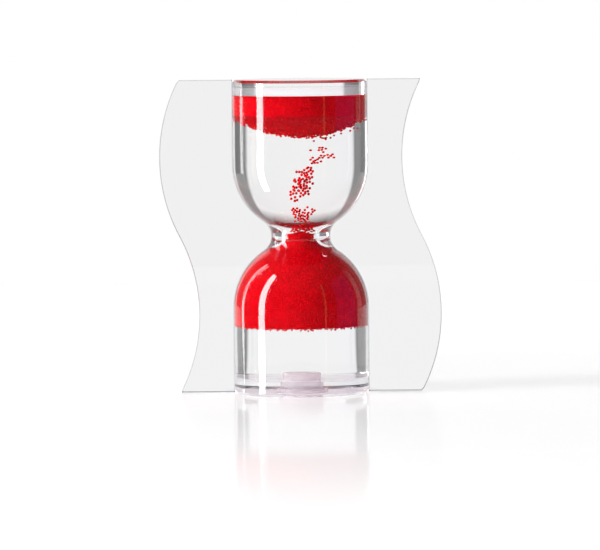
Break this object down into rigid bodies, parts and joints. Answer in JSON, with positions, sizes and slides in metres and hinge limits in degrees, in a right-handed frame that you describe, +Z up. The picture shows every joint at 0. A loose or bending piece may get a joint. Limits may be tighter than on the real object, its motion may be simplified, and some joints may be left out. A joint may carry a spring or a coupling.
{
  "type": "liquid motion timer",
  "caption": "Clear hourglass-shaped liquid timer between S-curved side panels: red beads float up from the lower chamber through a narrow neck into the upper one.",
  "frame": {"origin": "centre of the base, on the surface that the timer stands on", "axes": "+Z up the vessel's axis, +X to the right in the plane of the side panels, +Y to the back"},
  "size_m": [0.1124, 0.0536, 0.125],
  "materials": {
    "clear_acrylic": "polished",
    "panel_acrylic": "polished",
    "plug_plastic": "satin",
    "clear_liquid": "polished",
    "red_beads": "gloss"
  },
  "bodies": {
    "vessel": {"upper_chamber": "clear_acrylic", "lower_chamber": "clear_acrylic", "neck_disc": "clear_acrylic", "upper_end_cap": "clear_acrylic", "lower_end_cap": "clear_acrylic", "fill_plug": "plug_plastic", "left_side_panel": "panel_acrylic", "right_side_panel": "panel_acrylic", "upper_liquid": "clear_liquid", "lower_liquid": "clear_liquid", "upper_bead_bed": "red_beads", "lower_bead_bed": "red_beads", "neck_beads": "red_beads"},
    "low_clump": {"rising_beads_low": "red_beads"},
    "mid_clump": {"rising_beads_mid": "red_beads"},
    "high_clump": {"rising_beads_high": "red_beads"}
  },
  "joints": [
    {"name": "low_clump_rise", "type": "slide", "parent": "vessel", "child": "low_clump", "axis": [0, 0, 1], "range_m": [0, 0.022]},
    {"name": "mid_clump_rise", "type": "slide", "parent": "vessel", "child": "mid_clump", "axis": [0, 0, 1], "range_m": [0, 0.0099]},
    {"name": "high_clump_rise", "type": "slide", "parent": "vessel", "child": "high_clump", "axis": [0, 0, 1], "range_m": [0, 0.0044]}
  ],
  "couplings": [
    {"joint": "mid_clump_rise", "follows": "low_clump_rise", "ratio": 0.45},
    {"joint": "high_clump_rise", "follows": "low_clump_rise", "ratio": 0.2}
  ]
}
